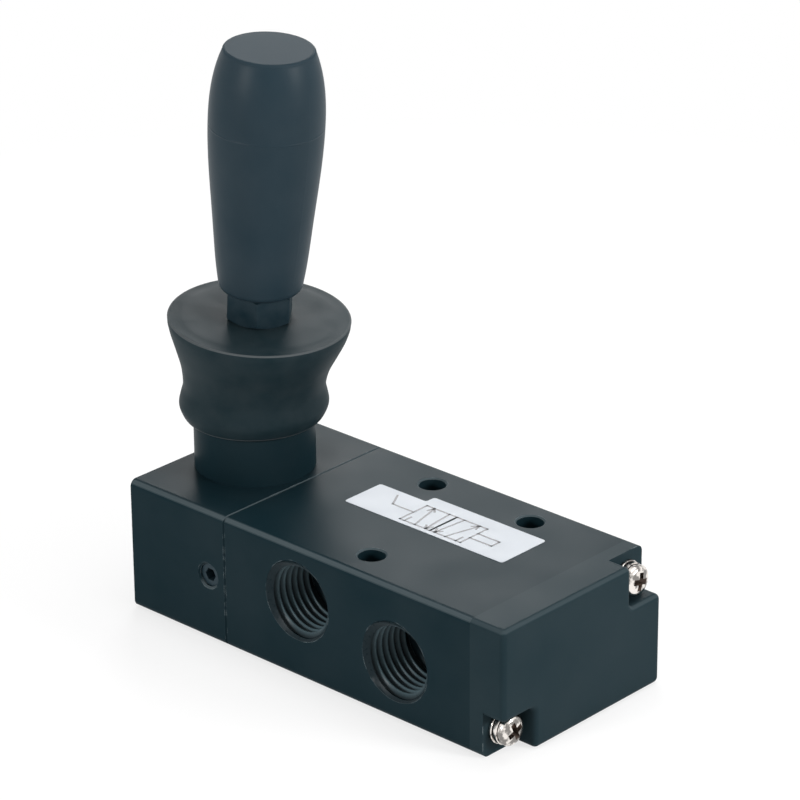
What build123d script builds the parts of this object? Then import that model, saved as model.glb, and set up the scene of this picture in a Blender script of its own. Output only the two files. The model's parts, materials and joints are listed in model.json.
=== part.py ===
"""Hand lever air valve, 5/2, two detented positions, G1/4 working ports.

Frame: the origin is the centre of the block's bottom face, +X runs along the spool
from the lever end to the end cap, +Y runs from the A and B ports to the inlet side,
and +Z is up. Lengths are in millimetres.
"""

from build123d import *
from math import cos, radians, sin, sqrt, tan
import os

# ---- Driving dimensions -------------------------------------------------------------

# Block: three lengths of one rounded bar
housing_length = 21.4
body_length = 52.7
cap_length = 6.8
block_width = 37.5
block_height = 23.0
bar_edge_round = 1.2
seam_chamfer = 0.2  # between the lever housing and the body

# Ports: the bores are cut at the major diameter of the thread
working_thread_r = 6.58  # G1/4
working_thread_depth = 10.0
working_passage_r = 3.5
exhaust_thread_r = 4.86  # G1/8
exhaust_thread_depth = 8.0
exhaust_passage_r = 2.7
mouth_chamfer = 0.3
drill_cone_slope = tan(radians(31))
passage_end_y = 2.0
port_centre_from_housing = 26.65  # inlet port, from the face of the lever housing
port_spacing = 21.0
port_rise = 0.45  # the middle between A and B sits this far above the spool axis
port_stagger = 1.7  # A sits this far above that middle, and B as far below it
exhaust_spacing = 38.4

# Fixing holes through the body
fixing_hole_r = 2.25
fixing_hole_spacing = 21.0
fixing_hole_chamfer = 0.25
front_fixing_hole_inset = 6.2
rear_fixing_hole_inset = 5.7

# Spool bore, its chambers and the spool
bore_r = 5.0
chamber_r = 6.2
chamber_width = 5.5
running_clearance = 0.05
waist_r = 3.0
land_width = 3.5
seal_section = 1.5
seal_clearance = 0.02
seal_overlap = 1.2  # how far a seal's middle stands in or out of its land
spool_nose_r = 4.0
spool_tail_wall = 2.2

# Face seals between the three blocks
face_seal_section = 1.3
face_seal_r = 6.7

# Neck and pivot
neck_r = 10.0
neck_centre_from_end = 10.1
neck_height = 12.5  # above the block's top face
neck_bore_r = 5.5
pivot_above_block = 4.5
boot_groove_r = 9.2
boot_groove_height = 1.9
neck_collar = 1.4
neck_bore_chamfer = 0.8
pin_r = 1.5
pin_front_reach = 8.0
bore_end_wall = 2.65

# Lever, measured along its own axis from the pivot
lever_lean = 4.4  # degrees from upright, towards the body, at rest
ball_r = 3.0
ball_clearance = 0.05
slot_side_clearance = 0.2
arm_r = 2.2
hub_clearance = 0.2
pin_running_clearance = 0.03
shank_r = 3.5
shoulder_height = 19.5
rod_r = 3.0  # M6
rod_in_grip = 12.0
rod_chamfer = 0.5
thread_clearance = 0.02
boot_washer_r = 6.0
boot_washer_thickness = 1.0
nut_across_flats = 10.0
nut_height = 5.0
nut_turn = 9.0

# Grip
grip_length = 41.3
grip_foot_r = 5.5
grip_foot_round = 1.4
grip_low_r = 7.15
grip_low_height = 3.0
grip_middle_r = 8.0
grip_middle_height = 11.2
grip_widest_r = 9.3
grip_widest_height = 28.5
grip_shoulder_r = 8.5
grip_shoulder_height = 37.3
grip_crown_r = 7.4
grip_crown_round = 0.5
insert_r = 4.0
insert_length = 14.0

# Dust boot: radii, and how far up the boot each one lies, from the lip (0) to the rim (1)
boot_lip_depth = 0.65  # below the groove of the neck
boot_rim_drop = 0.4  # below the flat top under the lock nut
boot_lip_r = 11.2
boot_bulge_r = 12.25
boot_bulge_share = 0.16
boot_waist_r = 11.65
boot_waist_share = 0.33
boot_swell_r = 12.2
boot_swell_share = 0.50
boot_flare_r = 13.3
boot_flare_share = 0.70
boot_shoulder_share = 0.90
boot_rim_r = 14.9
boot_wall = 1.3
boot_disc_thickness = 1.5
boot_flat_r = 12.5
boot_fit_gap = 0.05
boot_cavity_gap = 0.3

# Detent, in the front face of the lever housing
detent_from_end = 17.6
detent_thread_r = 2.0  # M4
detent_thread_depth = 6.0
detent_screw_length = 5.0
detent_screw_recess = 0.6
detent_mouth_chamfer = 0.3
detent_socket_across_flats = 2.0
detent_socket_depth = 2.0
detent_ball_r = 1.5
detent_bore_clearance = 0.05
detent_groove_half_width = 0.8
spring_wire_r = 0.2
spring_coil_r = 1.1
spring_turns = 6
spring_seat_gap = 0.05

# Screws: M3, two at opposite corners of each end
screw_r = 1.5
cap_screw_inset_y = 4.0
cap_screw_inset_z = 4.25
cap_screw_engagement = 7.5
cap_flange = 2.7
cap_pocket_y = 7.45
cap_pocket_z = 7.3
cap_corner_round = 1.0
cap_end_round = 0.9
flat_washer_r = 2.85
flat_washer_thickness = 0.5
spring_washer_r = 2.7
spring_washer_thickness = 0.8
spring_washer_split = 0.4
washer_bore_gap = 0.1
head_r = 2.7
head_height = 1.9
head_rim_height = 0.4
recess_width = 0.6
recess_length = 2.8
recess_depth = 1.2
housing_screw_inset_y = 4.0
housing_screw_inset_z = 4.25
housing_screw_engagement = 7.0
counterbore_gap = 0.25
screw_hole_gap = 0.15

# Bumper behind the spool, in the cap
bumper_thickness = 1.5
bumper_gap = 0.1
bumper_margin = 0.5
cap_recess_gap = 0.1
cap_recess_wall = 2.0

# ---- Places that follow from them ---------------------------------------------------

block_length = housing_length + body_length + cap_length
left_x = -block_length / 2
seam_x = left_x + housing_length
cap_x = seam_x + body_length
right_x = cap_x + cap_length
front_y = -block_width / 2
rear_y = block_width / 2
spool_z = block_height / 2
spool_axis = Axis((0, 0, spool_z), (1, 0, 0))
spool_section = Plane(origin=(0, 0, spool_z), x_dir=(1, 0, 0), z_dir=(0, -1, 0))

port_x = seam_x + port_centre_from_housing
neck_x = left_x + neck_centre_from_end
neck_top = block_height + neck_height
boot_groove_top = neck_top - neck_collar
boot_groove_bottom = boot_groove_top - boot_groove_height
pivot_height = block_height + pivot_above_block

# The lever swings as far to one side of upright as to the other
lean = radians(lever_lean)
lever_up = (sin(lean), 0, cos(lean))
lever_out = (cos(lean), 0, -sin(lean))
pivot = (neck_x, 0, pivot_height)
lever_axis = Axis(pivot, lever_up)
lever_section = Plane(origin=pivot, x_dir=lever_out, z_dir=(0, -1, 0))
lever_cross = Plane(origin=pivot, x_dir=lever_out, z_dir=lever_up)
arm_length = pivot_height - spool_z
ball_x = neck_x - arm_length * sin(lean)
stroke = 2 * arm_length * sin(lean)

washer_seat = shoulder_height
disc_bottom = washer_seat + boot_washer_thickness
nut_seat = disc_bottom + boot_disc_thickness
grip_seat = nut_seat + nut_height
grip_top = grip_seat + grip_length
rod_top = grip_seat + rod_in_grip
hub_r = neck_bore_r - hub_clearance

# Bore chambers: exhaust, A, inlet, B, exhaust
chamber_offsets = (-exhaust_spacing / 2, -port_spacing / 2, 0, port_spacing / 2, exhaust_spacing / 2)
chamber_xs = [port_x + offset for offset in chamber_offsets]
half_chamber = chamber_width / 2

# Seals at rest: A takes air from the inlet and B is open to its exhaust
seal_xs = (
    (seam_x + chamber_xs[0] - half_chamber - stroke) / 2,
    chamber_xs[1] - half_chamber - seal_overlap,
    chamber_xs[1] + half_chamber - seal_overlap,
    chamber_xs[3] - half_chamber - seal_overlap,
    chamber_xs[3] + half_chamber - seal_overlap,
    (chamber_xs[4] + half_chamber + cap_x - stroke) / 2,
)
spool_r = bore_r - running_clearance
seal_outer_r = bore_r - seal_clearance
seal_ring_r = seal_outer_r - seal_section / 2
seal_floor_r = seal_outer_r - seal_section - seal_clearance
slot_half_length = ball_r + ball_clearance
slot_half_width = ball_r + slot_side_clearance
tail_end_x = ball_x - slot_half_length - spool_tail_wall
housing_bore_end_x = left_x + bore_end_wall
cap_recess_end_x = right_x - cap_recess_wall
bumper_face_x = cap_recess_end_x - bumper_thickness
spool_end_x = bumper_face_x - bumper_gap - stroke

# The detent ball stands where it rides on the ridge between its two grooves
detent_x = left_x + detent_from_end
detent_ball_y = -(bore_r + detent_ball_r)
detent_bore_r = detent_ball_r + detent_bore_clearance
detent_thread_end_y = front_y + detent_thread_depth
detent_screw_y = front_y + detent_screw_recess
detent_screw_end_y = detent_screw_y + detent_screw_length
detent_groove_xs = (detent_x, detent_x - stroke)


def opposite_corners(inset_y, inset_z):
    """Give the two fixing points: front bottom corner and rear top corner."""
    return [
        (side * (block_width / 2 - inset_y), spool_z + side * (block_height / 2 - inset_z))
        for side in (-1, 1)
    ]


cap_screw_points = opposite_corners(cap_screw_inset_y, cap_screw_inset_z)
housing_screw_points = opposite_corners(housing_screw_inset_y, housing_screw_inset_z)


# ---- Operations shared by several pieces --------------------------------------------


def add_bar(start_x, length):
    """Add one length of the rounded bar to the active part."""
    with BuildSketch(Plane.YZ.offset(start_x)) as section:
        with Locations((0, block_height / 2)):
            RectangleRounded(block_width, block_height, bar_edge_round)
    extrude(section.sketch, amount=length)


def rod_along_x(points, radius, start_x, end_x, mode=Mode.ADD):
    """Add or cut round rods along X at (y, z) points."""
    with BuildSketch(Plane.YZ.offset(start_x)) as section:
        with Locations(*points):
            Circle(radius)
    extrude(section.sketch, amount=end_x - start_x, mode=mode)


def rod_along_y(x, z, radius, start_y, end_y, mode=Mode.ADD):
    """Add or cut a round rod along Y."""
    with BuildSketch(Plane.XZ.offset(-start_y)) as section:
        with Locations((x, z)):
            Circle(radius)
    extrude(section.sketch, amount=start_y - end_y, mode=mode)


def cut_port(x, z, side, thread_r, thread_depth, passage_r):
    """Cut a port from the front (-1) or rear (1) face through to the spool bore."""
    face_y = side * block_width / 2
    floor_y = face_y - side * thread_depth
    cone_y = floor_y - side * (thread_r - passage_r) * drill_cone_slope
    end_y = side * passage_end_y
    with BuildSketch(Plane.XY.offset(z)) as profile:
        with BuildLine():
            Polyline(
                (x, face_y),
                (x + thread_r + mouth_chamfer, face_y),
                (x + thread_r, face_y - side * mouth_chamfer),
                (x + thread_r, floor_y),
                (x + passage_r, cone_y),
                (x + passage_r, end_y),
                (x, end_y),
                close=True,
            )
        make_face()
    revolve(profile.sketch, axis=Axis((x, 0, z), (0, 1, 0)), mode=Mode.SUBTRACT)


def add_face_seal(groove_floor_x, direction):
    """Add an O-ring that lies on the floor of a face groove."""
    with BuildSketch(spool_section) as section:
        with Locations((groove_floor_x + direction * face_seal_section / 2, face_seal_r)):
            Circle(face_seal_section / 2)
    revolve(section.sketch, axis=spool_axis)


def cut_face_groove(face_x, direction):
    """Cut the groove of a face seal into the body, from an end face inwards."""
    with BuildSketch(Plane.YZ.offset(face_x)) as section:
        with Locations((0, spool_z)):
            Circle(face_seal_r + face_seal_section / 2)
            Circle(face_seal_r - face_seal_section / 2, mode=Mode.SUBTRACT)
    extrude(section.sketch, amount=direction * face_seal_section, mode=Mode.SUBTRACT)


def add_cross_head(points, seat_x, radius, rim_height, height, direction):
    """Add domed screw heads with a cross recess; direction is where the heads point."""
    for y, z in points:
        top_x = seat_x + direction * height
        with BuildSketch(Plane.XY.offset(z)) as profile:
            with BuildLine():
                Line((seat_x, y), (seat_x, y + radius))
                Line((seat_x, y + radius), (seat_x + direction * rim_height, y + radius))
                RadiusArc(
                    (seat_x + direction * rim_height, y + radius),
                    (top_x, y),
                    direction * (radius**2 + (height - rim_height) ** 2) / (2 * (height - rim_height)),
                )
                Line((top_x, y), (seat_x, y))
            make_face()
        revolve(profile.sketch, axis=Axis((0, y, z), (1, 0, 0)))
        with BuildSketch(Plane.YZ.offset(top_x)) as cross:
            with Locations((y, z)):
                Rectangle(recess_length, recess_width)
                Rectangle(recess_width, recess_length)
        extrude(cross.sketch, amount=-direction * recess_depth, mode=Mode.SUBTRACT)


def turned_on_lever(points):
    """Turn a closed outline of (radius, height) points about the lever's axis."""
    with BuildSketch(lever_section) as profile:
        with BuildLine():
            Polyline(*points, close=True)
        make_face()
    revolve(profile.sketch, axis=lever_axis)


# ---- Valve body ---------------------------------------------------------------------

with BuildPart() as valve_body:
    add_bar(seam_x, body_length)
    chamfer(valve_body.faces().sort_by(Axis.X)[0].edges(), seam_chamfer)
    with Locations((port_x, front_y + front_fixing_hole_inset, block_height)):
        Hole(fixing_hole_r)
    for side in (-1, 1):
        rear_hole_x = port_x + side * fixing_hole_spacing / 2
        with Locations((rear_hole_x, rear_y - rear_fixing_hole_inset, block_height)):
            Hole(fixing_hole_r)
    top_hole_edges = valve_body.faces().sort_by(Axis.Z)[-1].edges().filter_by(GeomType.CIRCLE)
    chamfer(top_hole_edges, fixing_hole_chamfer)

    rod_along_x([(0, spool_z)], bore_r, seam_x, cap_x, Mode.SUBTRACT)
    for chamber_x in chamber_xs:
        rod_along_x(
            [(0, spool_z)], chamber_r, chamber_x - half_chamber, chamber_x + half_chamber, Mode.SUBTRACT
        )
    for side in (-1, 1):
        working_x = port_x + side * port_spacing / 2
        working_z = spool_z + port_rise - side * port_stagger
        cut_port(working_x, working_z, -1, working_thread_r, working_thread_depth, working_passage_r)
        exhaust_x = port_x + side * exhaust_spacing / 2
        cut_port(exhaust_x, spool_z, 1, exhaust_thread_r, exhaust_thread_depth, exhaust_passage_r)
    cut_port(port_x, spool_z, 1, working_thread_r, working_thread_depth, working_passage_r)

    cut_face_groove(seam_x, 1)
    cut_face_groove(cap_x, -1)
    rod_along_x(
        cap_screw_points,
        screw_r + thread_clearance,
        cap_x - cap_screw_engagement,
        cap_x,
        Mode.SUBTRACT,
    )
    rod_along_x(
        housing_screw_points,
        screw_r + thread_clearance,
        seam_x,
        seam_x + housing_screw_engagement,
        Mode.SUBTRACT,
    )

# ---- Lever housing ------------------------------------------------------------------

with BuildPart() as lever_housing:
    add_bar(left_x, housing_length)
    chamfer(lever_housing.faces().sort_by(Axis.X)[-1].edges(), seam_chamfer)
    with BuildSketch(Plane.XZ):
        with BuildLine():
            Polyline(
                (neck_x, spool_z),
                (neck_x + neck_r, spool_z),
                (neck_x + neck_r, boot_groove_bottom),
                (neck_x + boot_groove_r, boot_groove_bottom),
                (neck_x + boot_groove_r, boot_groove_top),
                (neck_x + neck_r, boot_groove_top),
                (neck_x + neck_r, neck_top),
                (neck_x, neck_top),
                close=True,
            )
        make_face()
    revolve(axis=Axis((neck_x, 0, 0), (0, 0, 1)))
    with BuildSketch(Plane.XZ):
        with BuildLine():
            Polyline(
                (neck_x, spool_z),
                (neck_x + neck_bore_r, spool_z),
                (neck_x + neck_bore_r, neck_top - neck_bore_chamfer),
                (neck_x + neck_bore_r + neck_bore_chamfer, neck_top),
                (neck_x, neck_top),
                close=True,
            )
        make_face()
    revolve(axis=Axis((neck_x, 0, 0), (0, 0, 1)), mode=Mode.SUBTRACT)
    rod_along_x([(0, spool_z)], bore_r, housing_bore_end_x, seam_x, Mode.SUBTRACT)
    rod_along_y(neck_x, pivot_height, pin_r, neck_r, -pin_front_reach, Mode.SUBTRACT)

    rod_along_y(detent_x, spool_z, detent_bore_r, front_y, 0, Mode.SUBTRACT)
    with BuildSketch(Plane.XY.offset(spool_z)):
        with BuildLine():
            Polyline(
                (detent_x, front_y),
                (detent_x + detent_thread_r + detent_mouth_chamfer, front_y),
                (detent_x + detent_thread_r, front_y + detent_mouth_chamfer),
                (detent_x + detent_thread_r, detent_thread_end_y),
                (detent_x, detent_thread_end_y),
                close=True,
            )
        make_face()
    revolve(axis=Axis((detent_x, 0, spool_z), (0, 1, 0)), mode=Mode.SUBTRACT)

    counterbore_floor_x = left_x + head_height + counterbore_gap
    rod_along_x(
        housing_screw_points, screw_r + screw_hole_gap, left_x, seam_x, Mode.SUBTRACT
    )
    rod_along_x(
        housing_screw_points,
        head_r + counterbore_gap,
        left_x,
        counterbore_floor_x,
        Mode.SUBTRACT,
    )

# ---- End cap ------------------------------------------------------------------------

with BuildPart() as end_cap:
    # Beyond the flange two opposite corners are left out, so that the screw heads stand on it
    with BuildSketch(Plane.YZ.offset(cap_x)):
        with Locations((0, spool_z)):
            Rectangle(block_width, block_height)
            with Locations((-block_width / 2, -block_height / 2), (block_width / 2, block_height / 2)):
                Rectangle(2 * cap_pocket_y, 2 * cap_pocket_z, mode=Mode.SUBTRACT)
        fillet(vertices(), cap_corner_round)
    extrude(amount=cap_length)
    fillet(faces().sort_by(Axis.X)[-1].edges(), cap_end_round)
    add_bar(cap_x, cap_flange)
    rod_along_x(cap_screw_points, screw_r + screw_hole_gap, cap_x, right_x, Mode.SUBTRACT)
    rod_along_x([(0, spool_z)], bore_r + cap_recess_gap, cap_x, cap_recess_end_x, Mode.SUBTRACT)

# ---- Screws and washers -------------------------------------------------------------

flange_face_x = cap_x + cap_flange
spring_washer_x = flange_face_x + flat_washer_thickness
head_seat_x = spring_washer_x + spring_washer_thickness

with BuildPart() as end_cap_flat_washers:
    rod_along_x(cap_screw_points, flat_washer_r, flange_face_x, spring_washer_x)
    rod_along_x(
        cap_screw_points,
        screw_r + washer_bore_gap,
        flange_face_x,
        spring_washer_x,
        Mode.SUBTRACT,
    )

with BuildPart() as end_cap_spring_washers:
    rod_along_x(cap_screw_points, spring_washer_r, spring_washer_x, head_seat_x)
    rod_along_x(
        cap_screw_points,
        screw_r + washer_bore_gap,
        spring_washer_x,
        head_seat_x,
        Mode.SUBTRACT,
    )
    for y, z in cap_screw_points:
        with BuildSketch(Plane.YZ.offset(spring_washer_x)):
            with Locations((y, z + spring_washer_r)):
                Rectangle(spring_washer_split, 2 * (spring_washer_r - screw_r))
        extrude(amount=spring_washer_thickness, mode=Mode.SUBTRACT)

with BuildPart() as end_cap_screws:
    rod_along_x(cap_screw_points, screw_r, cap_x - cap_screw_engagement, head_seat_x)
    add_cross_head(cap_screw_points, head_seat_x, head_r, head_rim_height, head_height, 1)

with BuildPart() as housing_screws:
    rod_along_x(
        housing_screw_points,
        screw_r,
        counterbore_floor_x,
        seam_x + housing_screw_engagement,
    )
    add_cross_head(
        housing_screw_points,
        counterbore_floor_x,
        head_r,
        head_rim_height,
        head_height,
        -1,
    )

# ---- Seals between the blocks, bumper -----------------------------------------------

with BuildPart() as housing_seal:
    add_face_seal(seam_x + face_seal_section, -1)

with BuildPart() as cap_seal:
    add_face_seal(cap_x - face_seal_section, 1)

with BuildPart() as spool_bumper:
    rod_along_x([(0, spool_z)], bore_r - bumper_margin, bumper_face_x, cap_recess_end_x)

# ---- Spool --------------------------------------------------------------------------

with BuildPart() as spool:
    outline = [(tail_end_x, 0), (tail_end_x, spool_r)]
    for groove_x in sorted(detent_groove_xs):
        outline += [
            (groove_x - detent_groove_half_width, spool_r),
            (groove_x, spool_r - detent_groove_half_width),
            (groove_x + detent_groove_half_width, spool_r),
        ]
    half_groove = seal_section / 2 + seal_clearance
    for seal_x in seal_xs:
        if seal_x != seal_xs[0]:
            outline += [(seal_x - land_width / 2, waist_r), (seal_x - land_width / 2, spool_r)]
        outline += [
            (seal_x - half_groove, spool_r),
            (seal_x - half_groove, seal_floor_r),
            (seal_x + half_groove, seal_floor_r),
            (seal_x + half_groove, spool_r),
            (seal_x + land_width / 2, spool_r),
        ]
        if seal_x != seal_xs[-1]:
            outline.append((seal_x + land_width / 2, waist_r))
    outline += [
        (seal_xs[-1] + land_width / 2, spool_nose_r),
        (spool_end_x, spool_nose_r),
        (spool_end_x, 0),
    ]
    with BuildSketch(spool_section):
        with BuildLine():
            Polyline(*outline, close=True)
        make_face()
    revolve(axis=spool_axis)
    # Slot that the lever's ball drives, open at the top
    with BuildSketch(Plane.XY.offset(spool_z - slot_half_width)):
        with Locations((ball_x, 0)):
            Rectangle(2 * slot_half_length, 2 * slot_half_width)
    extrude(amount=slot_half_width + bore_r, mode=Mode.SUBTRACT)

with BuildPart() as spool_seals:
    for seal_x in seal_xs:
        with BuildSketch(spool_section):
            with Locations((seal_x, seal_ring_r)):
                Circle(seal_section / 2)
        revolve(axis=spool_axis)

# ---- Detent -------------------------------------------------------------------------

with BuildPart() as detent_ball:
    with Locations((detent_x, detent_ball_y, spool_z)):
        Sphere(detent_ball_r)

with BuildPart() as detent_set_screw:
    rod_along_y(detent_x, spool_z, detent_thread_r - thread_clearance, detent_screw_y, detent_screw_end_y)
    with BuildSketch(Plane.XZ.offset(-detent_screw_y)):
        with Locations((detent_x, spool_z)):
            RegularPolygon(detent_socket_across_flats / 2, 6, major_radius=False)
    extrude(amount=-detent_socket_depth, mode=Mode.SUBTRACT)

spring_start_y = detent_screw_end_y + spring_wire_r + spring_seat_gap
spring_contact_y = detent_ball_y - sqrt(detent_ball_r**2 - spring_coil_r**2)
spring_end_y = spring_contact_y - spring_wire_r - spring_seat_gap
spring_length = spring_end_y - spring_start_y

with BuildPart() as detent_spring:
    with BuildLine() as coil:
        Helix(
            pitch=spring_length / spring_turns,
            height=spring_length,
            radius=spring_coil_r,
            center=(detent_x, spring_start_y, spool_z),
            direction=(0, 1, 0),
        )
    with BuildSketch(Plane(origin=coil.line @ 0, z_dir=coil.line % 0)):
        Circle(spring_wire_r)
    sweep(path=coil.line)

# ---- Lever --------------------------------------------------------------------------

with BuildPart() as lever_shaft:
    arm_start = -arm_length + sqrt(ball_r**2 - arm_r**2)
    with BuildSketch(lever_section):
        with BuildLine():
            ThreePointArc((0, -arm_length - ball_r), (ball_r, -arm_length), (arm_r, arm_start))
            Line((arm_r, arm_start), (arm_r, -sqrt(hub_r**2 - arm_r**2)))
            ThreePointArc(
                (arm_r, -sqrt(hub_r**2 - arm_r**2)), (hub_r, 0), (shank_r, sqrt(hub_r**2 - shank_r**2))
            )
            Polyline(
                (shank_r, sqrt(hub_r**2 - shank_r**2)),
                (shank_r, shoulder_height),
                (rod_r, shoulder_height),
                (rod_r, rod_top - rod_chamfer),
                (rod_r - rod_chamfer, rod_top),
                (0, rod_top),
                (0, -arm_length - ball_r),
            )
        make_face()
    revolve(axis=lever_axis)
    rod_along_y(neck_x, pivot_height, pin_r + pin_running_clearance, hub_r, -hub_r, Mode.SUBTRACT)

with BuildPart() as pivot_pin:
    rod_along_y(neck_x, pivot_height, pin_r, neck_r - mouth_chamfer, -pin_front_reach)

with BuildPart() as boot_washer:
    turned_on_lever(
        [
            (rod_r + thread_clearance, washer_seat),
            (boot_washer_r, washer_seat),
            (boot_washer_r, disc_bottom),
            (rod_r + thread_clearance, disc_bottom),
        ]
    )

with BuildPart() as lock_nut:
    nut_corner_r = nut_across_flats / 2 / cos(radians(30))
    corner_drop = (nut_corner_r - nut_across_flats / 2) * tan(radians(30))
    turned_on_lever(
        [
            (rod_r + thread_clearance, nut_seat),
            (nut_across_flats / 2, nut_seat),
            (nut_corner_r, nut_seat + corner_drop),
            (nut_corner_r, grip_seat - corner_drop),
            (nut_across_flats / 2, grip_seat),
            (rod_r + thread_clearance, grip_seat),
        ]
    )
    with BuildSketch(lever_cross.offset(nut_seat)):
        RegularPolygon(nut_across_flats / 2, 6, major_radius=False, rotation=nut_turn)
    extrude(amount=nut_height, mode=Mode.INTERSECT)

with BuildPart() as grip_insert:
    turned_on_lever(
        [
            (rod_r + thread_clearance, grip_seat),
            (insert_r, grip_seat),
            (insert_r, grip_seat + insert_length),
            (rod_r + thread_clearance, grip_seat + insert_length),
        ]
    )

with BuildPart() as lever_grip:
    with BuildSketch(lever_section):
        with BuildLine():
            foot = (grip_foot_r + grip_foot_round, grip_seat + grip_foot_round)
            crown = (grip_crown_r, grip_top - grip_crown_round)
            Line((insert_r, grip_seat), (grip_foot_r, grip_seat))
            RadiusArc((grip_foot_r, grip_seat), foot, -grip_foot_round)
            Spline(
                foot,
                (grip_low_r, grip_seat + grip_low_height),
                (grip_middle_r, grip_seat + grip_middle_height),
                (grip_widest_r, grip_seat + grip_widest_height),
                (grip_shoulder_r, grip_seat + grip_shoulder_height),
                crown,
            )
            RadiusArc(crown, (grip_crown_r - grip_crown_round, grip_top), -grip_crown_round)
            Polyline(
                (grip_crown_r - grip_crown_round, grip_top),
                (0, grip_top),
                (0, grip_seat + insert_length),
                (insert_r, grip_seat + insert_length),
                (insert_r, grip_seat),
            )
        make_face()
    revolve(axis=lever_axis)

# ---- Dust boot ----------------------------------------------------------------------

rim_seat = nut_seat - boot_rim_drop
boot_shoulder_r = ((boot_rim_r - boot_flat_r) ** 2 + boot_rim_drop**2) / (2 * boot_rim_drop)
boot_lip_bottom = boot_groove_bottom - boot_lip_depth
boot_height = pivot_height + rim_seat * cos(lean) - boot_lip_bottom


def boot_ring(share, radius):
    """Sketch one ring of the boot: upright at the lip (0), leaning with the lever at the rim (1)."""
    height = boot_lip_bottom + share * boot_height
    turn = share * share * (3 - 2 * share)
    ring_plane = Plane(
        origin=(neck_x + turn * (height - pivot_height) * tan(lean), 0, height),
        x_dir=(cos(turn * lean), 0, -sin(turn * lean)),
        z_dir=(sin(turn * lean), 0, cos(turn * lean)),
    )
    with BuildSketch(ring_plane) as ring:
        Circle(radius)
    return ring.sketch


def share_at(height):
    """Tell how far up the boot a height is."""
    return (height - boot_lip_bottom) / boot_height


boot_outline = (
    (0.0, boot_lip_r),
    (boot_bulge_share / 2, (boot_lip_r + boot_bulge_r) / 2),
    (boot_bulge_share, boot_bulge_r),
    (boot_waist_share, boot_waist_r),
    (boot_swell_share, boot_swell_r),
    (boot_flare_share, boot_flare_r),
    (boot_shoulder_share, boot_rim_r - boot_fit_gap),
    (1.0, boot_rim_r),
)
collar_gap_r = neck_r + boot_cavity_gap
cavity_outline = (
    (share_at(boot_groove_top - boot_fit_gap), collar_gap_r),
    (boot_waist_share, collar_gap_r),
    (boot_swell_share, boot_waist_r - boot_wall + boot_cavity_gap),
    (boot_flare_share, boot_flare_r - boot_wall),
    (share_at(pivot_height + disc_bottom * cos(lean)), boot_rim_r - 2 * boot_wall),
)

with BuildPart() as boot_cavity:
    loft([boot_ring(share, radius) for share, radius in cavity_outline])

with BuildPart() as rubber_boot:
    loft([boot_ring(share, radius) for share, radius in boot_outline])
    add(boot_cavity.part, mode=Mode.SUBTRACT)
    # Flat top under the lock nut, rounded down to the rim
    with BuildSketch(lever_section):
        with BuildLine():
            Line((0, nut_seat), (boot_flat_r, nut_seat))
            RadiusArc((boot_flat_r, nut_seat), (boot_rim_r, rim_seat), boot_shoulder_r)
            Polyline((boot_rim_r, rim_seat), (0, rim_seat), (0, nut_seat))
        make_face()
    revolve(axis=lever_axis)
    # Flat seat of the washer, and hole for the lever's rod
    with BuildSketch(lever_cross.offset(washer_seat)):
        Circle(boot_washer_r + boot_cavity_gap)
    extrude(amount=boot_washer_thickness, mode=Mode.SUBTRACT)
    with BuildSketch(lever_cross.offset(nut_seat)):
        Circle(rod_r + boot_fit_gap)
    extrude(amount=-2 * boot_disc_thickness, mode=Mode.SUBTRACT)
    # Lip that snaps into the groove of the neck
    with BuildSketch(Plane.XZ):
        with BuildLine():
            Polyline(
                (neck_x, boot_lip_bottom),
                (neck_x + neck_r + boot_fit_gap, boot_lip_bottom),
                (neck_x + neck_r + boot_fit_gap, boot_groove_bottom + boot_fit_gap),
                (neck_x + boot_groove_r + boot_fit_gap, boot_groove_bottom + boot_fit_gap),
                (neck_x + boot_groove_r + boot_fit_gap, boot_groove_top),
                (neck_x, boot_groove_top),
                close=True,
            )
        make_face()
    revolve(axis=Axis((neck_x, 0, 0), (0, 0, 1)), mode=Mode.SUBTRACT)

# ---- Names and files ----------------------------------------------------------------

pieces = {
    "valve_body": valve_body,
    "lever_housing": lever_housing,
    "end_cap": end_cap,
    "end_cap_screws": end_cap_screws,
    "end_cap_spring_washers": end_cap_spring_washers,
    "end_cap_flat_washers": end_cap_flat_washers,
    "housing_screws": housing_screws,
    "housing_seal": housing_seal,
    "cap_seal": cap_seal,
    "spool_bumper": spool_bumper,
    "spool": spool,
    "spool_seals": spool_seals,
    "detent_ball": detent_ball,
    "detent_spring": detent_spring,
    "detent_set_screw": detent_set_screw,
    "lever_shaft": lever_shaft,
    "pivot_pin": pivot_pin,
    "boot_washer": boot_washer,
    "lock_nut": lock_nut,
    "grip_insert": grip_insert,
    "lever_grip": lever_grip,
    "rubber_boot": rubber_boot,
}

os.makedirs("parts", exist_ok=True)
for name, piece in pieces.items():
    piece.part.label = name
    export_step(piece.part, f"parts/{name}.step")
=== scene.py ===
"""Looks of a hand lever air valve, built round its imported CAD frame."""

import json
from math import cos, hypot, pi, radians, sin

import bmesh
import bpy
from bpy.props import FloatProperty, FloatVectorProperty, IntProperty, PointerProperty
from mathutils import Matrix, Vector


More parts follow.
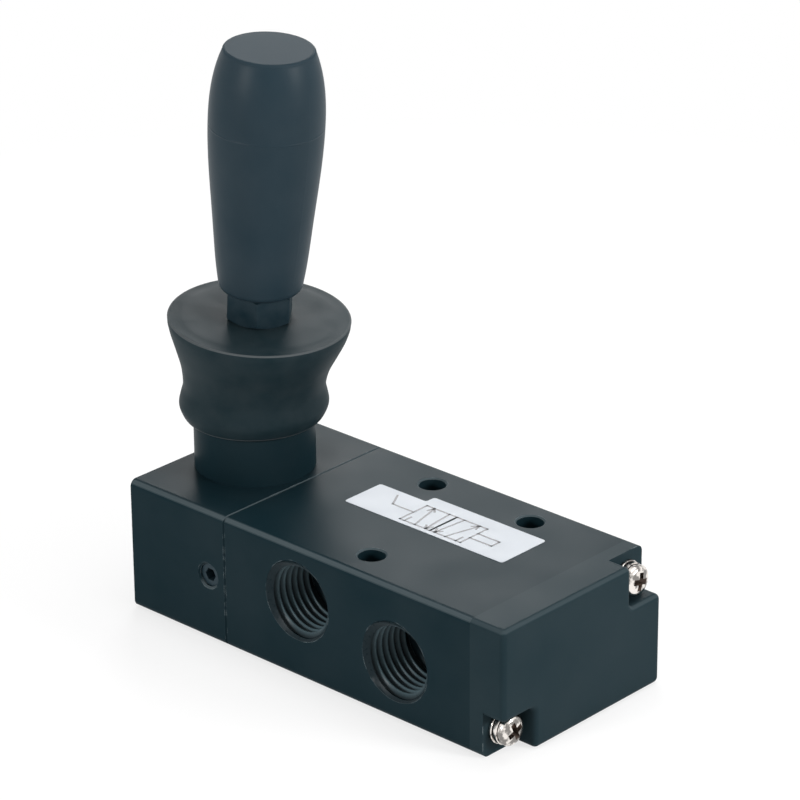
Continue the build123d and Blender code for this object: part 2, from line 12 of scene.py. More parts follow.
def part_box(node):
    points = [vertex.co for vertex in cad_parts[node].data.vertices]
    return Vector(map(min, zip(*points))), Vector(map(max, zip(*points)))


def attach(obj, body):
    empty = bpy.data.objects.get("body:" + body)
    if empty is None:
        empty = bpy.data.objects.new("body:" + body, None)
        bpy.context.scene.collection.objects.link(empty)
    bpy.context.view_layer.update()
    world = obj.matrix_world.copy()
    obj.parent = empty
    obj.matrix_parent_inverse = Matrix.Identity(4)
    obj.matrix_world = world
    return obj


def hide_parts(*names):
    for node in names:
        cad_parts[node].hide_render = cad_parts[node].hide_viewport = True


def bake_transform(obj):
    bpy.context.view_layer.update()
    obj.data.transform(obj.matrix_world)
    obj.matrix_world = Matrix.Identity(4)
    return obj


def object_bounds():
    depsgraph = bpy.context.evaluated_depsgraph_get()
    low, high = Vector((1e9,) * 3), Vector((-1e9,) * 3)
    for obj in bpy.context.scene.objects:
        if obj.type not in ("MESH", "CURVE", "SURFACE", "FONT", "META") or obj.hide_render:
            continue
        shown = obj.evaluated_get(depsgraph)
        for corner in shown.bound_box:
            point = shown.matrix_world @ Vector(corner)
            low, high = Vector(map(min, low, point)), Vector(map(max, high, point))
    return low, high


bl_info = {
    "name": "Hand lever air valve",
    "version": (1, 0, 0),
    "blender": (4, 5, 0),
    "location": "View3D > Sidebar > Valve",
    "description": "Dresses the CAD frame of a hand lever air valve",
    "category": "Object",
}

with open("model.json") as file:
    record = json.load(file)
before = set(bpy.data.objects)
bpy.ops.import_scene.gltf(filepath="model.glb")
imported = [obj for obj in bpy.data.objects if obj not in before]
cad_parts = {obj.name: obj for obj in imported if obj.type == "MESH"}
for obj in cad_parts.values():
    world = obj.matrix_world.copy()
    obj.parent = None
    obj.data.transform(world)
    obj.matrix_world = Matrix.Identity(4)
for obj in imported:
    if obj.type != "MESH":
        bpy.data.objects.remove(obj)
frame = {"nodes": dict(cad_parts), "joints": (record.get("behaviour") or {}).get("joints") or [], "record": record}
CAD_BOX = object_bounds()
NODES = frame["nodes"]
MOUNTS = {mount["name"]: mount for mount in frame["record"]["mounts"]}
LEVER_JOINT = next(joint for joint in frame["joints"] if joint["name"] == "lever_hinge")
PIVOT = Vector(LEVER_JOINT["pos_m"])
LEVER_SWING = radians(LEVER_JOINT["range_deg"][1] - LEVER_JOINT["range_deg"][0])
LEVER_LEAN = LEVER_SWING / 2
LEAN_TURN = Matrix.Rotation(LEVER_LEAN, 4, "Y")
LEVER_UP = LEAN_TURN @ Vector((0, 0, 1))
FULL_TURN = 2 * pi


def along_lever(node, end):
    """How far from the pivot a node reaches along the lever's axis: end 0 is its foot, 1 its top."""
    heights = [(v.co - PIVOT).dot(LEVER_UP) for v in NODES[node].data.vertices]
    return max(heights) if end else min(heights)


def linear(hex_text):
    """Turn an sRGB hex colour into the linear values that Blender works in."""
    values = [int(hex_text[i : i + 2], 16) / 255 for i in (0, 2, 4)]
    return tuple(v / 12.92 if v <= 0.04045 else ((v + 0.055) / 1.055) ** 2.4 for v in values)


# ---- Settings ----


def length(name, description, default):
    """A size property in metres."""
    return FloatProperty(name=name, description=description, default=default, min=0, unit="LENGTH")


def share(name, description, default):
    """A property from 0 to 1."""
    return FloatProperty(name=name, description=description, default=default, min=0, max=1)


def number(name, description, default):
    """A property that is a plain number from 0 up."""
    return FloatProperty(name=name, description=description, default=default, min=0)


def colour(name, description, hex_text):
    """A colour property given as sRGB hex."""
    return FloatVectorProperty(
        name=name,
        description=description,
        default=linear(hex_text),
        min=0,
        max=1,
        size=3,
        subtype="COLOR",
    )


class BlockFinish(bpy.types.PropertyGroup):
    body: colour("Body colour", "Dye of the anodised body and lever housing", "061f26")
    cap: colour("Cap colour", "Dye of the anodised end cap, from another batch", "17292f")
    gloss: share("Gloss", "Specular level of the blasted faces", 0.03)
    thread: colour("Thread colour", "Dyed oxide on the smoother flanks of the cut threads", "071a20")
    # The crest colour is a painted highlight: the crests are made light as if they caught the light
    crest: colour("Crest colour", "Rubbed oxide on the crests of the threads", "566a71")
    # This colour is shared: the worn spots on sharp edges, and the painted highlight on rounded edges that look
    # upwards
    wear_and_highlight_colour: colour("Worn edge colour", "Thin oxide on sharp edges", "8d999d")
    roughness: share("Roughness", "Roughness of the blasted surface", 0.4)
    knocked: share("Knocked edges", "Wear of the spots along sharp edges", 0.55)
    # These two shares are a painted highlight: they lighten the rounded edges and chamfers that look upwards, as
    # if the top light caught them
    painted_edge_highlight: share("Handled edges", "Wear of the body's rounded edges that look upwards", 0.2)
    cap_painted_edge_highlight: share("Handled cap edges", "The same on the cap", 0.09)
    edge: length("Worn edge", "How far wear reaches from a sharp edge", 0.00025)
    knock: length("Knock size", "Size of the worn spots along an edge", 0.0016)
    neck_radius: length("Neck radius", "Radius of the housing's neck, whose foot keeps its oxide", 0.01)
    covered: length("Covered width", "How far covered corners keep their oxide", 0.0006)
    grain: length("Blasting grain", "Size of the pits left by blasting", 0.00035)


class ThreadSizes(bpy.types.PropertyGroup):
    working_pitch: length("Working thread pitch", "19 turns per inch", 0.001337)
    exhaust_pitch: length("Exhaust thread pitch", "28 turns per inch", 0.000907)
    depth_share: share("Depth share", "Depth of a thread as a share of its pitch", 0.64)
    countersink: length("Countersink", "Extra radius of the mouth at the face", 0.0003)
    lead_in: number("Lead-in", "How steeply the countersink trims the crests", 2.0)
    steps: IntProperty(name="Steps", description="Steps in one turn of the thread", default=64, min=12)


class BootSizes(bpy.types.PropertyGroup):
    colour: colour("Rubber colour", "Colour of the moulded rubber", "0b2026")
    neck_radius: length("Neck radius", "Radius of the neck under the lip", 0.01)
    collar: length("Collar", "Length of the neck above its groove", 0.0014)
    groove: length("Groove", "Length of the groove that the lip snaps into", 0.0019)
    groove_depth: length("Groove depth", "How deep the lip sits in the groove", 0.00075)
    lip_depth: length("Lip depth", "How far the lip reaches below the groove", 0.00065)
    lip_radius: length("Lip radius", "Radius of the lip at the neck", 0.0113)
    bulge_radius: length("Bulge radius", "Radius of the bead above the lip", 0.01225)
    waist_radius: length("Waist radius", "Smallest radius, half way up", 0.01165)
    flare_radius: length("Flare radius", "Radius under the rim", 0.0133)
    rim_radius: length("Rim radius", "Radius of the rim", 0.0149)
    flat_radius: length("Flat radius", "Radius of the flat part of the top", 0.0125)
    rim_drop: length("Rim drop", "How far the top rounds down to the rim", 0.0004)
    rim_round: length("Rim rounding", "Radius of the rim's edge", 0.0004)
    wall: length("Wall", "Thickness of the rubber", 0.0013)
    disc: length("Disc", "Thickness of the disc under the nut", 0.0015)
    hole: length("Hole", "Radius of the hole for the lever's rod", 0.00305)
    crease: length("Crease", "Depth of the creases that the nut presses into the top", 0.0003)
    steps: IntProperty(name="Steps", description="Steps round the boot", default=96, min=24)


class GripFinish(bpy.types.PropertyGroup):
    colour: colour("Plastic colour", "Colour of the moulded grip", "1a2c35")
    roughness: share("Roughness", "Roughness of the moulded surface", 0.38)
    crown_roughness: share("Crown roughness", "Roughness of the flat top", 0.58)
    parting: length("Parting line", "Height of the mould's parting line above the grip's foot", 0.0285)
    parting_width: length("Parting line width", "Width of the parting line", 0.00018)


class FastenerSizes(bpy.types.PropertyGroup):
    nickel: colour("Nickel colour", "Colour of the bright plating", "f0eae4")
    # Painted shade: the darkness that falls in the cross recess of the screw heads
    recess_shade: colour("Recess colour", "Thin plating and dirt in the cross recess", "45372f")
    black: colour("Black oxide colour", "Colour of blackened steel", "0a2630")
    head_radius: length("Head radius", "Radius of the cap screws' heads", 0.0026)
    head_height: length("Head height", "Height of the cap screws' heads", 0.0016)
    shank_radius: length("Shank radius", "Radius of the cap screws' threads", 0.0015)
    recess_length: length("Recess length", "Length of a wing pair of the cross recess", 0.0037)
    recess_width: length("Recess width", "Width of a wing of the cross recess", 0.0010)
    recess_depth: length("Recess depth", "Depth of the cross recess", 0.0013)
    washer_radius: length("Flat washer radius", "Outside radius of the flat washers", 0.00285)
    washer_thick: length("Flat washer thickness", "Thickness of the flat washers", 0.0006)
    spring_radius: length("Spring washer radius", "Outside radius of the spring washers", 0.0027)


class LabelSizes(bpy.types.PropertyGroup):
    film: colour("Film colour", "Colour of the label's film", "c0c5cb")
    ink: colour("Ink colour", "Colour of the printed symbol", "2b2c33")
    start_x: length("Start", "Distance from the body's lever end to the label", 0.0100)
    long: length("Length", "Length of the label along the body", 0.0337)
    front_y: FloatProperty(
        name="Front edge", description="Y of its front edge", default=-0.0012, unit="LENGTH"
    )
    wide: length("Width", "Width of the label", 0.0105)
    step_x: length("Step length", "Length of the narrower end", 0.0100)
    step_y: length("Step", "How much narrower that end is", 0.0020)
    thick: length("Thickness", "Thickness of the film", 0.00008)
    line: length("Line width", "Width of the symbol's lines", 0.00038)


class StageSettings(bpy.types.PropertyGroup):
    backdrop: colour("Backdrop colour", "Colour of floor and backdrop", "ffffff")
    ambient: share("Ambient", "Strength of the soft light all round", 0.28)
    top_light: number("Top light", "Power of the light overhead, in watts", 1.7)
    back_light: number("Back light", "Power of the light behind, in watts", 0.42)
    front_light: number("Front light", "Power of the light at the port side, in watts", 1.7)
    cap_light: number("Cap light", "Power of the light at the cap end, in watts", 2.1)
    lens: number("Lens", "Focal length in mm on a 36 mm sensor", 173.13)
    floor_white: share("Floor white", "How white the floor is in the valve's shadow", 0.72)
    shadow_start: length("Shadow start", "Distance at which the floor's shadow starts to fade", 0.05)
    shadow_end: length("Shadow end", "Distance at which the floor is plain white", 0.25)


# ---- Shared modelling steps ----


def turned(points, steps, angle=FULL_TURN, rise=0.0):
    """Spin a closed outline of (radius, height) points about Z; rise makes it a screw."""
    bm = bmesh.new()
    verts = [bm.verts.new((radius, 0, height)) for radius, height in points]
    edges = [bm.edges.new((verts[i - 1], verts[i])) for i in range(len(verts))]
    is_ring = rise == 0 and abs(angle - FULL_TURN) < 1e-6
    bmesh.ops.spin(
        bm,
        geom=verts + edges,
        cent=(0, 0, 0),
        axis=(0, 0, 1),
        dvec=(0, 0, rise / steps),
        angle=angle,
        steps=steps,
        use_merge=is_ring,
        use_duplicate=False,
    )
    bmesh.ops.remove_doubles(bm, verts=bm.verts, dist=1e-8)
    if not is_ring:
        open_edges = [edge for edge in bm.edges if edge.is_boundary]
        bmesh.ops.holes_fill(bm, edges=open_edges)
    bmesh.ops.recalc_face_normals(bm, faces=bm.faces)
    return bm


def smooth_path(points, steps):
    """Round a path of (radius, height) points: a curve through each of them."""
    path = []
    for i in range(len(points) - 1):
        before, start = Vector(points[max(i - 1, 0)]), Vector(points[i])
        end, after = Vector(points[i + 1]), Vector(points[min(i + 2, len(points) - 1)])
        for step in range(steps):
            t = step / steps
            path.append(
                0.5
                * (
                    2 * start
                    + (end - before) * t
                    + (2 * before - 5 * start + 4 * end - after) * t**2
                    + (3 * start - before - 3 * end + after) * t**3
                )
            )
    return [tuple(p) for p in path] + [points[-1]]


def rounded(centre, radius, start, end, steps):
    """Points of an arc, for an edge's rounding; angles in degrees."""
    angles = [radians(start + (end - start) * i / steps) for i in range(steps + 1)]
    return [(centre[0] + radius * cos(a), centre[1] + radius * sin(a)) for a in angles]


def place(bm, matrix):
    """Move a mesh to its place, with its faces still outwards."""
    bmesh.ops.transform(bm, matrix=matrix, verts=bm.verts)


def facing(point, axis):
    """The matrix that takes local +Z to an axis at a point."""
    turn = Vector((0, 0, 1)).rotation_difference(Vector(axis)).to_matrix().to_4x4()
    return Matrix.Translation(Vector(point)) @ turn


def as_object(name, bm, material, sharp=radians(40)):
    """Make an object at the origin from a finished mesh."""
    mesh = bpy.data.meshes.new(name)
    bm.to_mesh(mesh)
    bm.free()
    mesh.materials.append(material)
    mesh.polygons.foreach_set("use_smooth", [True] * len(mesh.polygons))
    mesh.set_sharp_from_angle(angle=sharp)
    piece = bpy.data.objects.new(name, mesh)
    bpy.context.scene.collection.objects.link(piece)
    return piece


def join(target, source):
    """Add one bmesh to another and drop the source."""
    mesh = bpy.data.meshes.new("joined")
    source.to_mesh(mesh)
    source.free()
    target.from_mesh(mesh)
    bpy.data.meshes.remove(mesh)


def dress(node, material):
    """Give a CAD node its finish."""
    piece = NODES[node]
    for held in piece.material_slots:
        held.link = "OBJECT"
        held.material = material


# ---- Materials ----


def add(tree, kind, inputs=None, **settings):
    """Add a node with its settings; inputs are values, or sockets to link from."""
    node = tree.nodes.new(kind)
    for key, value in settings.items():
        setattr(node, key, value)
    for key, value in (inputs or {}).items():
        if isinstance(value, bpy.types.NodeSocket):
            tree.links.new(value, node.inputs[key])
        else:
            node.inputs[key].default_value = value
    return node


def empty_tree(owner):
    """The node tree of a material or a world, emptied."""
    owner.use_nodes = True
    owner.node_tree.nodes.clear()
    return owner.node_tree


def lighter(rgb, share):
    """A colour moved towards white by a share."""
    return tuple(v + (1 - v) * share for v in rgb)


def dimmed(rgb, share):
    """A colour with only a share of its light."""
    return tuple(v * share for v in rgb)


def clouded_surface(
    name, colours, clouds, roughness, relief, grain=None, reflection_patches=None, rubbed=None, **inputs
):
    """Make a material whose colour and roughness drift in clouds over a fine relief.

    Colours and roughness are pairs that the clouds mix, clouds is a size in metres and a detail,
    and relief is a height in metres and a strength. Grain is the relief's own size where it isn't
    the clouds'. The next argument gives the cloud levels between which the second colour sets in as
    patches; on nickel they are painted reflection. The last is the colour of a painted highlight
    where the mesh's attribute marks one."""
    material = bpy.data.materials.new(name)
    tree = empty_tree(material)
    where = add(tree, "ShaderNodeTexCoord").outputs["Object"]
    fields = [
        add(
            tree, "ShaderNodeTexNoise", {"Vector": where, "Scale": 1 / size, "Detail": detail}
        ).outputs["Fac"]
        for size, detail in [clouds] + ([(grain, 2.0)] if grain else [])
    ]
    cloud = fields[0]
    if roughness:
        low, high = roughness
        inputs["Roughness"] = add(
            tree,
            "ShaderNodeMapRange",
            {"Value": cloud, "From Min": 0.3, "From Max": 0.7, "To Min": low, "To Max": high},
        ).outputs["Result"]
    drift = cloud
    # Patches of the second colour between these cloud levels; on nickel they are painted reflection
    if reflection_patches:
        drift = add(
            tree,
            "ShaderNodeMapRange",
            {"Value": cloud, "From Min": reflection_patches[0], "From Max": reflection_patches[1]},
        ).outputs["Result"]
    layers = [(drift, colours[1])]
    # Painted highlight where the mesh's attribute marks one
    if rubbed:
        mark = add(tree, "ShaderNodeAttribute", attribute_name="rubbed")
        layers.append((mark.outputs["Fac"], rubbed))
    colour = (*colours[0], 1)
    for field, rgb in layers:
        colour = add(
            tree, "ShaderNodeMix", {0: field, 6: colour, 7: (*rgb, 1)}, data_type="RGBA"
        ).outputs[2]
    bump = add(
        tree,
        "ShaderNodeBump",
        {"Height": fields[-1], "Distance": relief[0], "Strength": relief[1]},
    )
    shader = add(
        tree,
        "ShaderNodeBsdfPrincipled",
        {"Base Color": colour, "Normal": bump.outputs["Normal"], **inputs},
    )
    add(tree, "ShaderNodeOutputMaterial", {"Surface": shader.outputs[0]})
    return material, shader, cloud


def anodised_aluminium(name, rgb, finish, painted_edge_highlight):
    """Black dyed oxide on aluminium: a dark satin skin, broad soft reflections at a low angle,
    small light spots where the oxide is knocked off along sharp edges, and a painted highlight,
    of the last argument's share, on the rounded edges and chamfers that look upwards, where the
    top light would catch them."""
    # Pits of blasting are about 0.1 mm; they are drawn three times as coarse so that they show
    material, shader, _ = clouded_surface(
        name,
        (rgb, lighter(rgb, 0.012)),
        (0.012, 3.0),
        (finish.roughness - 0.04, finish.roughness + 0.05),
        (0.00002, 0.25),
        grain=finish.grain,
        **{"IOR": 1.5, "Specular IOR Level": finish.gloss},
    )
    tree = material.node_tree
    where = add(tree, "ShaderNodeTexCoord").outputs["Object"]
    specks = add(
        tree, "ShaderNodeTexNoise", {"Vector": where, "Scale": 1 / finish.knock, "Detail": 2.0}
    ).outputs["Fac"]
    knocks = add(tree, "ShaderNodeMapRange", {"Value": specks, "From Min": 0.48, "From Max": 0.62})
    # The joint under the cap and the corner round the neck are covered, and keep their oxide
    from_neck = add(
        tree, "ShaderNodeVectorMath", {0: where, 1: (-PIVOT.x, 0, 0)}, operation="ADD"
    )
    flat = add(
        tree, "ShaderNodeVectorMath", {0: from_neck.outputs[0], 1: (1, 1, 0)}, operation="MULTIPLY"
    )
    reach = add(tree, "ShaderNodeVectorMath", {0: flat.outputs[0]}, operation="LENGTH")
    along = add(tree, "ShaderNodeSeparateXYZ", {0: where})
    bare = knocks.outputs["Result"]
    for value, covered in (
        (along.outputs["X"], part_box("valve_body")[1].x),
        (reach.outputs["Value"], finish.neck_radius),
    ):
        near = add(
            tree,
            "ShaderNodeMath",
            {0: value, 1: covered, 2: finish.covered},
            operation="COMPARE",
        )
        bare = add(
            tree,
            "ShaderNodeMath",
            {0: bare, 1: near.outputs[0]},
            operation="SUBTRACT",
            use_clamp=True,
        ).outputs[0]
    # On a sharp edge the softened normal turns away from the true one
    normal = add(tree, "ShaderNodeNewGeometry").outputs["True Normal"]
    softened = add(tree, "ShaderNodeBevel", {"Radius": finish.edge}, samples=4)
    agreement = add(
        tree,
        "ShaderNodeVectorMath",
        {0: softened.outputs["Normal"], 1: normal},
        operation="DOT_PRODUCT",
    ).outputs["Value"]
    edges = add(
        tree,
        "ShaderNodeMapRange",
        {"Value": agreement, "From Min": 0.985, "From Max": 0.88, "To Max": finish.knocked},
    )
    spots = add(
        tree, "ShaderNodeMath", {0: edges.outputs["Result"], 1: bare}, operation="MULTIPLY"
    )
    # Walls and flat tops stay plain; what leans between them looks upwards and gets a painted highlight, as if it
    # caught the top light
    lean = add(tree, "ShaderNodeSeparateXYZ", {0: normal})
    off_wall = add(
        tree,
        "ShaderNodeMapRange",
        {"Value": lean.outputs["Z"], "From Min": 0.35, "From Max": 0.6, "To Max": painted_edge_highlight},
    )
    off_top = add(
        tree, "ShaderNodeMapRange", {"Value": lean.outputs["Z"], "From Min": 0.97, "From Max": 0.88}
    )
    painted_rounded_highlight = add(
        tree,
        "ShaderNodeMath",
        {0: off_wall.outputs["Result"], 1: off_top.outputs["Result"]},
        operation="MULTIPLY",
    )
    # The worn spots on sharp edges, together with the painted highlight on the upward rounded edges
    wear = add(
        tree, "ShaderNodeMath", {0: spots.outputs[0], 1: painted_rounded_highlight.outputs[0]}, operation="MAXIMUM"
    )
    oxide = shader.inputs["Base Color"].links[0].from_socket
    wear_and_highlight_colour = add(
        tree,
        "ShaderNodeMix",
        {0: wear.outputs[0], 6: oxide, 7: (*finish.wear_and_highlight_colour, 1)},
        data_type="RGBA",
    )
    tree.links.new(wear_and_highlight_colour.outputs[2], shader.inputs["Base Color"])
    return material


def cut_thread(name, rgb, crest):
    """Black dyed oxide on cut aluminium: dark, smooth flanks, and a painted highlight of thin light
    lines along the crests."""
    return clouded_surface(
        name,
        (rgb, lighter(rgb, 0.01)),
        (0.0006, 2.0),
        (0.26, 0.38),
        (0.00002, 0.2),
        rubbed=crest,
        **{"IOR": 1.5, "Specular IOR Level": 0.1},
    )[0]


def moulded_rubber(name, rgb, roughness=0.5):
    """Moulded nitrile rubber: satin skin with faint mottling, as the mould leaves it, and a painted
    highlight, lighter, where the mesh marks edges that would catch the light."""
    return clouded_surface(
        name,
        (rgb, lighter(rgb, 0.02)),
        (0.004, 4.0),
        (roughness - 0.04, roughness + 0.06),
        (0.00002, 0.3),
        grain=0.0004,
        rubbed=lighter(rgb, 0.11),
        **{"IOR": 1.52, "Specular IOR Level": 0.045},
    )[0]


def moulded_plastic(name, rgb, finish):
    """Glass filled nylon, moulded in a polished cavity: satin, with a fine parting line."""
    material, shader, flow = clouded_surface(
        name,
        (rgb, lighter(rgb, 0.015)),
        (0.009, 3.0),
        None,
        (0.00002, 0.25),
        grain=0.0003,
        **{"IOR": 1.53, "Specular IOR Level": 0.08},
    )
    tree = material.node_tree
    # Height along the lever's axis, from the parting line
    line_point = PIVOT + LEVER_UP * (along_lever("lever_grip", 0) + finish.parting)
    where = add(tree, "ShaderNodeTexCoord")
    from_line = add(
        tree,
        "ShaderNodeVectorMath",
        {0: where.outputs["Object"], 1: line_point},
        operation="SUBTRACT",
    )
    height = add(
        tree,
        "ShaderNodeVectorMath",
        {0: from_line.outputs["Vector"], 1: LEVER_UP},
        operation="DOT_PRODUCT",
    )
    # The mould is polished up to the crown, whose flat top it leaves matt
    crown = along_lever("lever_grip", 1) - along_lever("lever_grip", 0) - finish.parting
    matt = add(
        tree,
        "ShaderNodeMapRange",
        {
            "Value": height.outputs["Value"],
            "From Min": crown - 0.0008,
            "From Max": crown - 0.0001,
            "To Min": finish.roughness,
            "To Max": finish.crown_roughness,
        },
    )
    cloudy = add(
        tree,
        "ShaderNodeMath",
        {0: flow, 1: 0.08, 2: matt.outputs["Result"]},
        operation="MULTIPLY_ADD",
    )
    tree.links.new(cloudy.outputs[0], shader.inputs["Roughness"])
    distance = add(tree, "ShaderNodeMath", {0: height.outputs["Value"]}, operation="ABSOLUTE")
    ridge = add(
        tree,
        "ShaderNodeMapRange",
        {"Value": distance.outputs[0], "From Min": finish.parting_width, "From Max": 0.0},
    )
    line = add(
        tree,
        "ShaderNodeBump",
        {"Height": ridge.outputs["Result"], "Distance": 0.00006, "Strength": 0.8},
    )
    grain = shader.inputs["Normal"].links[0].from_node
    tree.links.new(line.outputs["Normal"], grain.inputs["Normal"])
    return material


def bright_nickel(name, rgb):
    """Bright nickel plate on steel: a warm mirror, wavy from the barrel, with dark patches of painted
    reflection for the dark surroundings that it mirrors."""
    return clouded_surface(
        name,
        (rgb, dimmed(rgb, 0.28)),
        (0.0011, 3.0),
        (0.1, 0.24),
        (0.00008, 0.5),
        reflection_patches=(0.44, 0.56),
        Metallic=1.0,
    )[0]


def machined_metal(name, rgb, roughness, lay):
    """Turned or drawn metal: fine tool marks, drawn as even clouds lay metres across."""
    return clouded_surface(
        name,
        (rgb, dimmed(rgb, 0.88)),
        (lay, 1.0),
        (roughness - 0.05, roughness + 0.08),
        (0.00001, 0.3),
        Metallic=1.0,
    )[0]


def black_oxide(name, rgb):
    """Black oxide on steel: a thin dark conversion coat, oiled, with a soft metal gloss."""
    return clouded_surface(
        name,
        (rgb, lighter(rgb, 0.02)),
        (0.002, 3.0),
        (0.33, 0.46),
        (0.00001, 0.25),
        grain=0.0003,
        **{"Metallic": 0.25, "Specular IOR Level": 0.25},
    )[0]


def label_film(name, rgb):
    """Printed vinyl film: smooth, slightly glossy white with a cool cast."""
    return clouded_surface(
        name,
        (rgb, dimmed(rgb, 0.97)),
        (0.003, 2.0),
        (0.28, 0.4),
        (0.00002, 0.15),
        **{"Specular IOR Level": 0.05},
    )[0]


# ---- Pieces ----


class VALVE_OT_blocks(bpy.types.Operator):
    """Finish the lever housing, the valve body and the end cap"""

    bl_idname = "valve.blocks"
    bl_label = "Finish the blocks"

    def execute(self, context):
        finish = context.scene.valve_blocks
        # The last argument is each block's share of painted highlight on rounded edges that look upwards
        body = anodised_aluminium("black_anodised_aluminium", finish.body, finish, finish.painted_edge_highlight)
        cap = anodised_aluminium("black_anodised_cap", finish.cap, finish, finish.cap_painted_edge_highlight)
        dress("valve_body", body)
        dress("lever_housing", body)
        dress("end_cap", cap)
        return {"FINISHED"}


class VALVE_OT_port_threads(bpy.types.Operator):
    """Cut the pipe threads of the five ports"""

    bl_idname = "valve.port_threads"
    bl_label = "Thread the ports"

    def execute(self, context):
        sizes = context.scene.valve_threads
        finish = context.scene.valve_blocks
        # The crest colour gives the threads' crests their painted highlight
        cut = cut_thread("anodised_thread", finish.thread, finish.crest)
        for name, mount in MOUNTS.items():
            if mount["kind"] != "threaded_hole":
                continue
            axis = Vector(mount["axis"])
            radius = mount["dims"]["r_mm"] / 1000
            wall = mount["dims"]["length_mm"] / 1000
            face = Vector(mount["pos_m"]) + axis * (wall / 2 + sizes.countersink)
            pitch = sizes.exhaust_pitch if "exhaust" in name else sizes.working_pitch
            thread = self.thread(sizes, radius, wall, pitch)
            place(thread, facing(face, axis))
            piece = as_object(f"{name}_thread", thread, cut, radians(60))
            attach(piece, "block")
        return {"FINISHED"}

    def thread(self, sizes, radius, wall, pitch):
        """A right-hand ridge from the floor out through the mouth, trimmed by the countersink."""
        crest = radius - sizes.depth_share * pitch
        outline = [
            (radius + 0.00005, 0.0),
            (radius - 0.00005, 0.18 * pitch),
            (crest, 0.43 * pitch),
            (crest, 0.57 * pitch),
            (radius - 0.00005, 0.82 * pitch),
            (radius + 0.00005, pitch * 0.999),
        ]
        turns = wall / pitch
        steps = round(turns * sizes.steps)
        bm = turned(outline, steps, angle=turns * FULL_TURN, rise=turns * pitch)
        bmesh.ops.translate(bm, verts=bm.verts, vec=(0, 0, -sizes.countersink - wall + 0.0001))
        # Painted highlight: the crests are marked light from half a pitch inside the mouth, fully from a pitch and
        # a half in
        rubbed = bm.verts.layers.float.new("rubbed")
        for vert in bm.verts:
            reach = hypot(vert.co.x, vert.co.y)
            if reach < crest + 0.00001:
                vert[rubbed] = min(max(-vert.co.z / pitch - 0.5, 0.0), 1.0)
            cone = radius + sizes.countersink + sizes.lead_in * min(vert.co.z, 0)
            if reach < cone:
                vert.co.x *= cone / reach
                vert.co.y *= cone / reach
            vert.co.z = min(vert.co.z, -0.00002)
        return bm


# Each crease's start from the lever's axis, its heading in degrees and its reach
CREASES = (((0.0035, -0.0050), -58, 0.0045), ((0.0052, -0.0066), -25, 0.0036))
CREASE_HALF_WIDTH = 0.0007
# Strength of the painted highlights on the rim's edge and on the lip's edge
RIM_HIGHLIGHT, LIP_HIGHLIGHT = 0.6, 0.5


